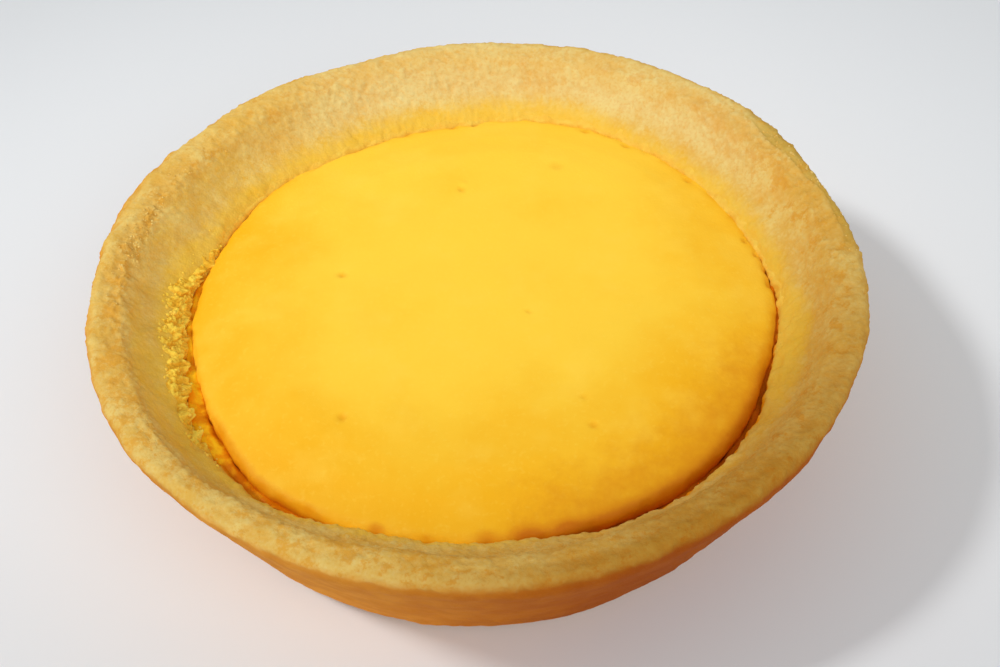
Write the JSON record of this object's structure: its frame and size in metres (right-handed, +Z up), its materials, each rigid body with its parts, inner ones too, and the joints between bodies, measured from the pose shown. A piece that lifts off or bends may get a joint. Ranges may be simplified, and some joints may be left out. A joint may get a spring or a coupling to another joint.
{
  "type": "cheese tart",
  "caption": "Round cheese tart: a thick leaning shortcrust case with a rounded uneven rim, filled with a smooth low yellow dome set a little below the rim.",
  "frame": {"origin": "middle of the flat base, on the surface that the tart rests on", "axes": "+Z up out of the filling; +X towards the picture's right, and +Y away from its camera"},
  "size_m": [0.0855, 0.0853, 0.0212],
  "materials": {
    "crust": "matt, grainy baked shortcrust",
    "filling": "satin baked cheese custard"
  },
  "bodies": {
    "root": {"crust": "crust", "filling": "filling"}
  },
  "joints": []
}
